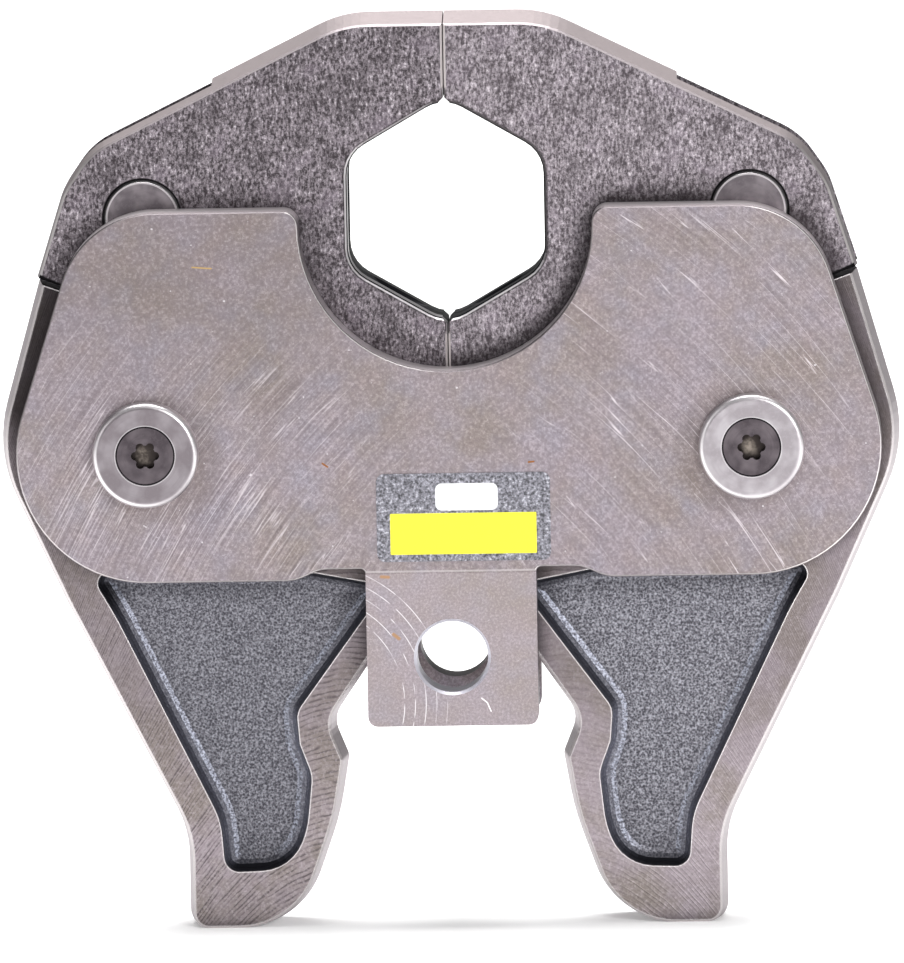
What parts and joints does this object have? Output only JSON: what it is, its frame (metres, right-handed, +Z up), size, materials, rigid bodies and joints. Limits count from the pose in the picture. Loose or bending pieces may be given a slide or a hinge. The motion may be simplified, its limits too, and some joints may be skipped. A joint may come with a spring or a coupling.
{
  "type": "press fitting tool jaw",
  "caption": "Hinged steel press jaw for pipe fittings: forged levers and press segments around a hexagonal mouth, held between support plates with a bored tongue.",
  "frame": {"origin": "middle of the part's footprint, on the level of the lever tails' ends, midway between the support plates", "axes": "+X to the right seen from the front, with the label; +Y from the front plate to the rear plate; +Z up, from the lever tails to the press mouth"},
  "size_m": [0.1762, 0.0398, 0.1797],
  "materials": {
    "plate_steel": "ground, with long arc scratches",
    "lever_steel": "forged, with ground faces and dark shot-blasted pockets",
    "segment_steel": "forged, with ground faces and a dark speckled film",
    "pin_steel": "ground",
    "collar_steel": "satin, turned",
    "screw_steel": "burnished dark",
    "spring_steel": "drawn wire",
    "label_film": "satin film"
  },
  "bodies": {
    "support": {"front_plate": "plate_steel", "rear_plate": "plate_steel", "left_pivot_pin": "pin_steel", "right_pivot_pin": "pin_steel", "front_left_collar": "collar_steel", "front_right_collar": "collar_steel", "rear_left_collar": "collar_steel", "rear_right_collar": "collar_steel", "front_left_screw": "screw_steel", "front_right_screw": "screw_steel", "rear_left_screw": "screw_steel", "rear_right_screw": "screw_steel", "spring_pin": "pin_steel", "closing_spring": "spring_steel", "label": "label_film"},
    "left_lever": {"left_lever": "lever_steel", "left_segment_pin": "pin_steel"},
    "right_lever": {"right_lever": "lever_steel", "right_segment_pin": "pin_steel"},
    "left_segment": {"left_press_segment": "segment_steel"},
    "right_segment": {"right_press_segment": "segment_steel"}
  },
  "joints": [
    {"name": "left_lever_hinge", "type": "hinge", "parent": "support", "child": "left_lever", "pos_m": [-0.0592, 0, 0.095], "axis": [0, -1, 0], "range_deg": [0, 18], "stiffness_Nm_per_rad": 1, "springref_deg": -57.3, "deforming": ["closing_spring"]},
    {"name": "right_lever_hinge", "type": "hinge", "parent": "support", "child": "right_lever", "pos_m": [0.0592, 0, 0.095], "axis": [0, 1, 0], "range_deg": [0, 18], "stiffness_Nm_per_rad": 1, "springref_deg": -57.3},
    {"name": "left_segment_hinge", "type": "hinge", "parent": "left_lever", "child": "left_segment", "pos_m": [-0.0594, 0, 0.1405], "axis": [0, -1, 0], "range_deg": [0, 1.8]},
    {"name": "right_segment_hinge", "type": "hinge", "parent": "right_lever", "child": "right_segment", "pos_m": [0.0594, 0, 0.1405], "axis": [0, 1, 0], "range_deg": [0, 1.8]}
  ],
  "couplings": [
    {"joint": "left_segment_hinge", "follows": "left_lever_hinge", "ratio": 0.1},
    {"joint": "right_segment_hinge", "follows": "right_lever_hinge", "ratio": 0.1}
  ]
}
